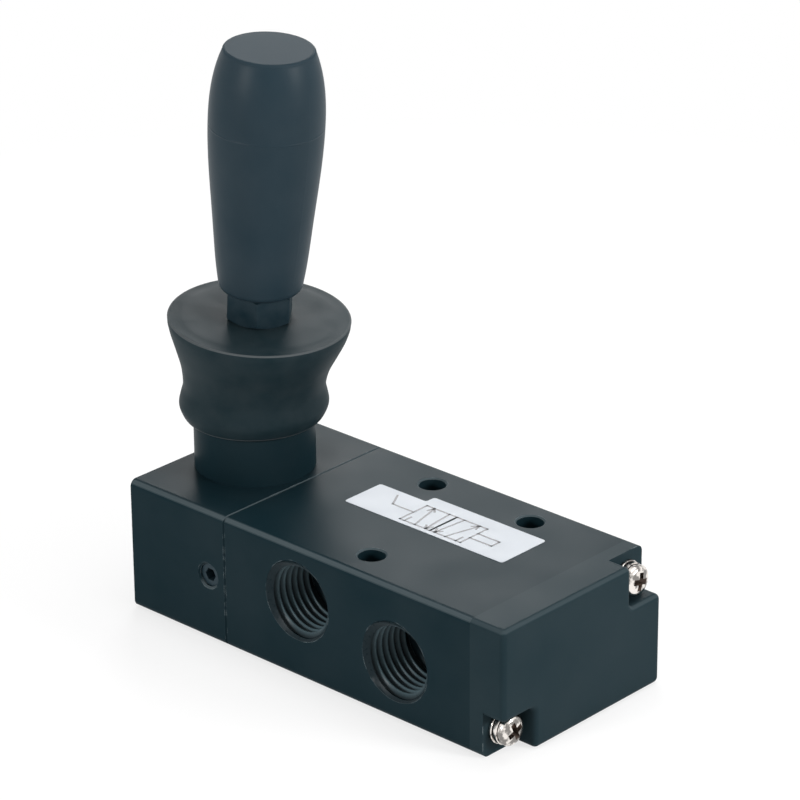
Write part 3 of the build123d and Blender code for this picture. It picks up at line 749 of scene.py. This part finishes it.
class VALVE_OT_boot(bpy.types.Operator):
    """Mould the dust boot between the neck and the lever"""

    bl_idname = "valve.boot"
    bl_label = "Mould the boot"

    def execute(self, context):
        sizes = context.scene.valve_boot
        top = PIVOT.z + along_lever("lock_nut", 0)
        rim = top - sizes.rim_drop
        neck_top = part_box("lever_housing")[1].z
        groove_top = neck_top - sizes.collar
        groove_foot = groove_top - sizes.groove
        lip = groove_foot - sizes.lip_depth
        disc_foot = top - sizes.disc
        span = rim - lip

        def at(share):
            return lip + share * span

        outside = smooth_path(
            [
                (sizes.lip_radius, lip + 0.0003),
                (sizes.lip_radius + 0.00035, at(0.045)),
                (sizes.bulge_radius - 0.0001, at(0.11)),
                (sizes.bulge_radius, at(0.16)),
                (sizes.bulge_radius - 0.00025, at(0.23)),
                (sizes.waist_radius, at(0.34)),
                (0.45 * sizes.waist_radius + 0.55 * sizes.flare_radius - 0.0004, at(0.52)),
                (sizes.flare_radius, at(0.70)),
                (sizes.rim_radius - 0.0006, at(0.85)),
                (sizes.rim_radius - 0.0001, at(0.95)),
            ],
            6,
        )
        edge = rounded((sizes.rim_radius - sizes.rim_round, rim), sizes.rim_round, 0, 60, 6)
        shoulder = smooth_path(
            [
                edge[-1],
                (0.45 * sizes.rim_radius + 0.55 * sizes.flat_radius, top - 0.16 * sizes.rim_drop),
                (sizes.flat_radius, top),
            ],
            4,
        )
        flat = [
            (sizes.hole + (sizes.flat_radius - sizes.hole) * (1 - i / 12), top) for i in range(1, 13)
        ]
        inside = [
            (sizes.hole, disc_foot),
            (sizes.rim_radius - 2 * sizes.wall, disc_foot),
            (sizes.flare_radius - sizes.wall, at(0.70)),
            (sizes.waist_radius - sizes.wall + 0.0003, at(0.50)),
            (sizes.neck_radius + 0.0003, at(0.33)),
            (sizes.neck_radius + 0.0003, groove_top + 0.00005),
            (sizes.neck_radius - sizes.groove_depth, groove_top - 0.00005),
            (sizes.neck_radius - sizes.groove_depth, groove_foot + 0.00005),
            (sizes.neck_radius + 0.00005, groove_foot),
            (sizes.neck_radius + 0.00005, lip),
        ]
        outline = outside + edge[1:] + shoulder[1:] + flat + inside + [(sizes.lip_radius - 0.0004, lip)]
        boot = turned(outline, sizes.steps)
        self.paint_highlights(boot, sizes, rim, lip)
        self.pinch(boot, sizes, top)
        for vert in boot.verts:
            share = min(max((vert.co.z - lip) / (disc_foot - lip), 0.0), 1.0)
            turn = share * share * (3 - 2 * share) * LEVER_LEAN
            upright = Vector((vert.co.x, vert.co.y, vert.co.z - PIVOT.z))
            vert.co = PIVOT + Matrix.Rotation(turn, 3, "Y") @ upright
        rubber = moulded_rubber("moulded_rubber", sizes.colour)
        piece = as_object("dust_boot", boot, rubber, radians(70))
        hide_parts("rubber_boot")
        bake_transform(piece)
        return {"FINISHED"}

    def paint_highlights(self, boot, sizes, rim, lip):
        """Mark painted highlights along the rim's edge and the lip's edge."""
        rubbed = boot.verts.layers.float.new("rubbed")
        for vert in boot.verts:
            radius = hypot(vert.co.x, vert.co.y)
            on_rim = radius > sizes.rim_radius - 0.0003 and vert.co.z > rim + 0.0001
            on_lip = radius > sizes.lip_radius - 0.0001 and vert.co.z < lip + 0.00045
            vert[rubbed] = RIM_HIGHLIGHT if on_rim else LIP_HIGHLIGHT if on_lip else 0.0

    def pinch(self, boot, sizes, top):
        """Press shallow creases into the top, out from under the nut."""
        for (x, y), heading, reach in CREASES:
            way = Vector((cos(radians(heading)), sin(radians(heading)), 0))
            across = Vector((-way.y, way.x, 0))
            for vert in boot.verts:
                if vert.co.z < top - 0.0001:
                    continue
                from_start = vert.co - Vector((x, y, vert.co.z))
                along = from_start.dot(way) / reach
                side = from_start.dot(across) / CREASE_HALF_WIDTH
                if 0 < along < 1 and abs(side) < 1:
                    vert.co.z -= sizes.crease * (1 - side * side) * 4 * along * (1 - along)


class VALVE_OT_grip(bpy.types.Operator):
    """Finish the moulded grip"""

    bl_idname = "valve.grip"
    bl_label = "Finish the grip"

    def execute(self, context):
        finish = context.scene.valve_grip
        dress("lever_grip", moulded_plastic("moulded_nylon", finish.colour, finish))
        return {"FINISHED"}


# Each screw's turn in degrees, by the side of the cap that it is on
SCREW_TURNS = {-1: 22, 1: -12}
# A spring washer's wire fills this share of its room, and goes this far round
WIRE_SHARE, WIRE_TURN = 0.78, radians(350)


class VALVE_OT_cap_screws(bpy.types.Operator):
    """Make the screws and washers at two corners of the end cap"""

    bl_idname = "valve.cap_screws"
    bl_label = "Make the cap screws"

    def execute(self, context):
        sizes = context.scene.valve_fasteners
        nickel = bright_nickel("bright_nickel", sizes.nickel)
        # The cross recess gets a second material whose dark colour is painted shade
        shaded = black_oxide("thin_plate_in_recess", sizes.recess_shade)
        low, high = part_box("end_cap_screws")
        seat_x = high.x - sizes.head_height
        flat_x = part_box("end_cap_flat_washers")[0].x
        spring_x = flat_x + sizes.washer_thick
        screws, flats, springs = bmesh.new(), bmesh.new(), bmesh.new()
        for side, turn in SCREW_TURNS.items():
            y, z = self.centre(side)
            spun = Matrix.Rotation(radians(turn), 4, "Z")
            for whole, piece, x, turned_by in (
                (screws, self.screw(sizes, seat_x - low.x), seat_x, spun),
                (flats, self.washer(sizes), flat_x, Matrix()),
                (springs, self.split_washer(sizes, seat_x - spring_x), spring_x, spun),
            ):
                place(piece, facing((x, y, z), (1, 0, 0)) @ turned_by)
                join(whole, piece)
        for name, bm, node in (
            ("cap_screws", screws, "end_cap_screws"),
            ("flat_washers", flats, "end_cap_flat_washers"),
            ("spring_washers", springs, "end_cap_spring_washers"),
        ):
            piece = as_object(name, bm, nickel, radians(35))
            piece.data.materials.append(shaded)
            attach(piece, "block")
            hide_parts(node)
        return {"FINISHED"}

    def centre(self, side):
        """Where the CAD screw on one side of the cap has its axis."""
        own = [vert.co for vert in NODES["end_cap_screws"].data.vertices if vert.co.y * side > 0]
        return [(min(v[i] for v in own) + max(v[i] for v in own)) / 2 for i in (1, 2)]

    def screw(self, sizes, shank):
        """A pan head screw with a cross recess; its seat is at height 0 and its head points up."""
        rim = 0.62 * sizes.head_height
        dome = smooth_path(
            [
                (sizes.head_radius, rim - 0.0002),
                (sizes.head_radius - 0.0001, rim),
                (0.82 * sizes.head_radius, sizes.head_height - 0.00028),
                (0.45 * sizes.head_radius, sizes.head_height - 0.00004),
                (0.0, sizes.head_height),
            ],
            5,
        )
        head = turned(
            [(0.0, -shank), (sizes.shank_radius, -shank), (sizes.shank_radius, 0.0)]
            + [(sizes.head_radius - 0.00015, 0.0), (sizes.head_radius, 0.00015)]
            + dome,
            48,
        )
        cutter = bmesh.new()
        for turn in (0, 90):
            wing = bmesh.ops.create_cube(cutter, size=1.0)["verts"]
            for vert in wing:
                deep = vert.co.z < 0
                vert.co.x *= sizes.recess_length * (0.35 if deep else 1.0)
                vert.co.y *= sizes.recess_width * (0.7 if deep else 1.0)
                vert.co.z = sizes.head_height + (-sizes.recess_depth if deep else 0.0003)
            bmesh.ops.rotate(
                cutter, verts=wing, cent=(0, 0, 0), matrix=Matrix.Rotation(radians(turn), 3, "Z")
            )
        screw = cut_away(head, cutter)
        # Faces deep in the cross recess take the second slot, its painted shade
        for face in screw.faces:
            middle = face.calc_center_median()
            if hypot(middle.x, middle.y) < 0.5 * sizes.recess_length and middle.z > 0:
                face.material_index = int(middle.z < sizes.head_height - 0.0003)
        return screw

    def washer(self, sizes):
        """A flat ring with rounded edges, from height 0 up."""
        radius, thick = sizes.washer_radius, sizes.washer_thick
        bore = sizes.shank_radius + 0.0001
        soft = 0.00012
        outline = (
            [(bore, soft), (bore, thick - soft), (bore + soft, thick)]
            + rounded((radius - soft, thick - soft), soft, 90, 0, 3)
            + rounded((radius - soft, soft), soft, 0, -90, 3)
            + [(bore + soft, 0.0)]
        )
        return turned(outline, 48)

    def split_washer(self, sizes, room):
        """One turn of square wire that rises by its own gap, cut across."""
        thick = room * WIRE_SHARE
        bore = sizes.shank_radius + 0.0001
        soft = 0.0001
        radius = sizes.spring_radius
        outline = [
            (bore, soft),
            (bore, thick - soft),
            (bore + soft, thick),
            (radius - soft, thick),
            (radius, thick - soft),
            (radius, soft),
            (radius - soft, 0.0),
            (bore + soft, 0.0),
        ]
        return turned(outline, 44, angle=WIRE_TURN, rise=room - thick)


def cut_away(body, cutter):
    """Cut one closed mesh out of another."""
    pieces = []
    for name, bm in (("cut_body", body), ("cut_tool", cutter)):
        bmesh.ops.recalc_face_normals(bm, faces=bm.faces)
        mesh = bpy.data.meshes.new(name)
        bm.to_mesh(mesh)
        bm.free()
        piece = bpy.data.objects.new(name, mesh)
        bpy.context.scene.collection.objects.link(piece)
        pieces.append(piece)
    cut = pieces[0].modifiers.new("cut", "BOOLEAN")
    cut.operation = "DIFFERENCE"
    cut.solver = "EXACT"
    cut.use_self = True
    cut.object = pieces[1]
    graph = bpy.context.evaluated_depsgraph_get()
    result = bmesh.new()
    result.from_object(pieces[0], graph)
    for piece in pieces:
        mesh = piece.data
        bpy.data.objects.remove(piece)
        bpy.data.meshes.remove(mesh)
    return result


class VALVE_OT_metal_parts(bpy.types.Operator):
    """Finish the lever's metal parts, the detent and what lies inside the blocks"""

    bl_idname = "valve.metal_parts"
    bl_label = "Finish the metal parts"

    def execute(self, context):
        sizes = context.scene.valve_fasteners
        black = black_oxide("black_oxide_steel", sizes.black)
        steel = machined_metal("turned_steel", linear("b0b1b3"), 0.3, 0.0003)
        spring = machined_metal("drawn_spring_steel", linear("9a9ba0"), 0.28, 0.0002)
        ball = machined_metal("polished_bearing_steel", linear("d4d5d8"), 0.12, 0.001)
        brass = machined_metal("turned_brass", linear("caa45e"), 0.3, 0.0003)
        natural = machined_metal("natural_anodised_spool", linear("c3c5c8"), 0.34, 0.0003)
        seal = moulded_rubber("nitrile_seal", linear("17191a"), 0.55)
        for material, nodes in (
            (black, ("lock_nut", "detent_set_screw", "housing_screws")),
            (steel, ("lever_shaft", "pivot_pin", "boot_washer")),
            (spring, ("detent_spring",)),
            (ball, ("detent_ball",)),
            (brass, ("grip_insert",)),
            (natural, ("spool",)),
            (seal, ("spool_seals", "housing_seal", "cap_seal", "spool_bumper")),
        ):
            for node in nodes:
                dress(node, material)
        return {"FINISHED"}


class VALVE_OT_label(bpy.types.Operator):
    """Stick the label on the body and print the valve's symbol on it"""

    bl_idname = "valve.label"
    bl_label = "Stick on the label"

    def execute(self, context):
        sizes = context.scene.valve_label
        low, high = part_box("valve_body")
        x0 = low.x + sizes.start_x
        x1 = x0 + sizes.long
        y0 = sizes.front_y
        y1 = y0 + sizes.wide
        step_x = x0 + sizes.step_x
        step_y = y1 - sizes.step_y
        outline = [(x0, y0), (x1, y0), (x1, y1), (step_x, y1), (step_x, step_y), (x0, step_y)]
        film = bmesh.new()
        corners = [film.verts.new((x, y, high.z)) for x, y in outline]
        film.faces.new(corners)
        bmesh.ops.bevel(
            film,
            geom=corners,
            offset=0.0005,
            segments=4,
            profile=0.5,
            affect="VERTICES",
            material=-1,
        )
        film.faces.ensure_lookup_table()
        sheet = film.faces[0]
        sheet.normal_update()
        if sheet.normal.z < 0:
            sheet.normal_flip()
        raised = bmesh.ops.extrude_face_region(film, geom=[sheet])["geom"]
        top = [part for part in raised if isinstance(part, bmesh.types.BMVert)]
        bmesh.ops.translate(film, verts=top, vec=(0, 0, sizes.thick))
        bmesh.ops.recalc_face_normals(film, faces=film.faces)
        piece = as_object("rating_label", film, label_film("vinyl_film", sizes.film))
        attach(piece, "block")
        self.symbol(sizes, x0, x1, y0, step_y, high.z + sizes.thick)
        return {"FINISHED"}

    def symbol(self, sizes, x0, x1, y0, y1, z):
        """Print the standard sign of a 5/2 valve: two squares with their flow paths."""
        side = (y1 - y0) * 0.76
        middle_x = (x0 + x1) / 2 + 0.12 * side
        foot = y0 + (y1 - y0) * 0.12
        ink = bmesh.new()

        def line(*points):
            """Strokes from point to point, each in sides of a square from the foot's middle."""
            ends = [Vector((middle_x + u * side, foot + v * side)) for u, v in points]
            for start, end in zip(ends, ends[1:]):
                run = end - start
                centre = (start + end) / 2
                turn = Matrix.Rotation(run.angle_signed(Vector((1, 0))), 4, "Z")
                size = Matrix.Diagonal((run.length + sizes.line, sizes.line, 1, 1))
                bmesh.ops.create_grid(
                    ink,
                    x_segments=1,
                    y_segments=1,
                    size=0.5,
                    matrix=Matrix.Translation((centre.x, centre.y, z + 0.00001)) @ turn @ size,
                )

        def arrow(start, end):
            line(start, end)
            back = (Vector(start) - Vector(end)).normalized() * 0.2
            for angle in (28, -28):
                line(end, Vector(end) + Matrix.Rotation(radians(angle), 2) @ back)

        for left in (-1, 0):
            line((left, 0), (left + 1, 0), (left + 1, 1), (left, 1), (left, 0))
        # The paths in one square mirror those in the other
        for way in (-1, 1):
            arrow((0.5 * way, 0), (0.75 * way, 1))
            arrow((0.25 * way, 1), (0.15 * way, 0))
            line((0.85 * way, 0), (0.85 * way, 0.25))
        # The lever, and the catch that holds it
        line((-1, 0.5), (-1.7, 0.5), (-1.95, 0.95))
        line((1, 0.35), (1.7, 0.35), (1.7, 0.65), (1, 0.65))
        material = bpy.data.materials.new("label_ink")
        tree = empty_tree(material)
        dry = add(
            tree, "ShaderNodeBsdfPrincipled", {"Base Color": (*sizes.ink, 1), "Roughness": 0.4}
        )
        add(tree, "ShaderNodeOutputMaterial", {"Surface": dry.outputs[0]})
        piece = as_object("label_symbol", ink, material)
        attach(piece, "block")


# ---- Stage ----

# Each soft box's place and the length of its side, in metres
LAMPS = {
    "top_light": ((0.05, 0.05, 0.62), 0.30),
    "back_light": ((-0.2135, 0.2275, 0.177), 0.14),
    "front_light": ((-0.08, -0.57, 0.22), 0.11),
    "cap_light": ((0.50, 0.16, 0.22), 0.14),
}
# The camera's place, and its right and up directions
CAMERA_POINT = Vector((0.37811, -0.40434, 0.28767))
CAMERA_RIGHT = Vector((0.73424, 0.67886, -0.00631))
CAMERA_UP = Vector((-0.27020, 0.30074, 0.91464))
FLOOR_REACH = 3.0
FLOOR_GAP = 0.0001


class VALVE_OT_stage(bpy.types.Operator):
    """Lay the floor, and set the world, the lights and the camera"""

    bl_idname = "valve.stage"
    bl_label = "Set the stage"

    def execute(self, context):
        settings = context.scene.valve_stage
        self.floor(settings)
        self.world(context, settings)
        for name, (point, size) in LAMPS.items():
            self.lamp(name, point, getattr(settings, name), size)
        self.camera(context, settings)
        context.scene.view_settings.view_transform = "Standard"
        return {"FINISHED"}

    def seen_white(self, tree):
        """1 for camera, glossy and transmission rays, which see the backdrop as plain white."""
        path = add(tree, "ShaderNodeLightPath")
        seen = path.outputs["Is Camera Ray"]
        for ray in ("Is Glossy Ray", "Is Transmission Ray"):
            seen = add(
                tree,
                "ShaderNodeMath",
                {0: seen, 1: path.outputs[ray]},
                operation="ADD",
                use_clamp=True,
            ).outputs[0]
        return seen

    def floor(self, settings):
        """A matt white sheet that keeps the object's shadow faintly."""
        bm = bmesh.new()
        bmesh.ops.create_grid(
            bm,
            x_segments=8,
            y_segments=8,
            size=FLOOR_REACH,
            matrix=Matrix.Translation((0, 0, -FLOOR_GAP)),
        )
        material = bpy.data.materials.new("white_paper")
        tree = empty_tree(material)
        paper = add(tree, "ShaderNodeBsdfDiffuse", {"Color": (*settings.backdrop, 1)})
        glow = add(tree, "ShaderNodeEmission", {"Color": (*settings.backdrop, 1), "Strength": 1.0})
        # Away from the valve no shadow falls, and the sheet is seen plain white
        where = add(tree, "ShaderNodeTexCoord").outputs["Object"]
        far = add(tree, "ShaderNodeVectorMath", {0: where}, operation="LENGTH")
        white = add(
            tree,
            "ShaderNodeMapRange",
            {
                "Value": far.outputs["Value"],
                "From Min": settings.shadow_start,
                "From Max": settings.shadow_end,
                "To Min": settings.floor_white,
                "To Max": 1.0,
            },
        )
        part = add(
            tree,
            "ShaderNodeMath",
            {0: self.seen_white(tree), 1: white.outputs["Result"]},
            operation="MULTIPLY",
        )
        mixed = add(
            tree,
            "ShaderNodeMixShader",
            {0: part.outputs[0], 1: paper.outputs[0], 2: glow.outputs[0]},
        )
        add(tree, "ShaderNodeOutputMaterial", {"Surface": mixed.outputs[0]})
        sheet = as_object("floor", bm, material)

    def world(self, context, settings):
        """White to the eye and in reflections; a softer even light on the object."""
        world = bpy.data.worlds.new("studio")
        context.scene.world = world
        tree = empty_tree(world)
        level = add(
            tree,
            "ShaderNodeMapRange",
            {"Value": self.seen_white(tree), "To Min": settings.ambient, "To Max": 1.0},
        )
        back = add(
            tree,
            "ShaderNodeBackground",
            {"Color": (*settings.backdrop, 1), "Strength": level.outputs["Result"]},
        )
        add(tree, "ShaderNodeOutputWorld", {"Surface": back.outputs[0]})

    def lamp(self, name, point, power, size):
        """A square soft box that faces the valve."""
        data = bpy.data.lights.new(name, "AREA")
        data.energy = power
        data.size = size
        lamp = bpy.data.objects.new(name, data)
        centre = (CAD_BOX[0] + CAD_BOX[1]) / 2
        turn = (Vector(point) - centre).to_track_quat("Z", "Y").to_matrix().to_4x4()
        lamp.matrix_world = Matrix.Translation(point) @ turn
        bpy.context.scene.collection.objects.link(lamp)

    def camera(self, context, settings):
        """A long lens, from above the cap end of the port side."""
        data = bpy.data.cameras.new("camera")
        data.lens = settings.lens
        data.sensor_width = 36
        data.clip_start, data.clip_end = 0.01, 20
        camera = bpy.data.objects.new("camera", data)
        back = CAMERA_RIGHT.cross(CAMERA_UP)
        turn = Matrix((CAMERA_RIGHT, CAMERA_UP, back)).transposed().to_4x4()
        camera.matrix_world = Matrix.Translation(CAMERA_POINT) @ turn
        context.scene.collection.objects.link(camera)
        context.scene.camera = camera


# ---- Panel and registration ----

SETTINGS = {
    "valve_blocks": BlockFinish,
    "valve_threads": ThreadSizes,
    "valve_boot": BootSizes,
    "valve_grip": GripFinish,
    "valve_fasteners": FastenerSizes,
    "valve_label": LabelSizes,
    "valve_stage": StageSettings,
}
OPERATORS = (
    VALVE_OT_blocks,
    VALVE_OT_port_threads,
    VALVE_OT_boot,
    VALVE_OT_grip,
    VALVE_OT_cap_screws,
    VALVE_OT_metal_parts,
    VALVE_OT_label,
    VALVE_OT_stage,
)


class VALVE_PT_panel(bpy.types.Panel):
    """The valve's settings and the steps that build it"""

    bl_idname = "VALVE_PT_panel"
    bl_label = "Hand lever air valve"
    bl_space_type = "VIEW_3D"
    bl_region_type = "UI"
    bl_category = "Valve"

    def draw(self, context):
        for operator in OPERATORS:
            self.layout.operator(operator.bl_idname)
        for name, group in SETTINGS.items():
            box = self.layout.box()
            box.label(text=group.__name__)
            for key in group.__annotations__:
                box.prop(getattr(context.scene, name), key)


def register():
    for group in SETTINGS.values():
        bpy.utils.register_class(group)
    for name, group in SETTINGS.items():
        setattr(bpy.types.Scene, name, PointerProperty(type=group))
    for operator in OPERATORS:
        bpy.utils.register_class(operator)
    bpy.utils.register_class(VALVE_PT_panel)


def unregister():
    bpy.utils.unregister_class(VALVE_PT_panel)
    for operator in reversed(OPERATORS):
        bpy.utils.unregister_class(operator)
    for name, group in SETTINGS.items():
        delattr(bpy.types.Scene, name)
        bpy.utils.unregister_class(group)


def main():
    """Build every piece in order."""
    register()
    bpy.ops.valve.blocks()
    bpy.ops.valve.port_threads()
    bpy.ops.valve.boot()
    bpy.ops.valve.grip()
    bpy.ops.valve.cap_screws()
    bpy.ops.valve.metal_parts()
    bpy.ops.valve.label()
    bpy.ops.valve.stage()


if __name__ == "__main__":
    main()
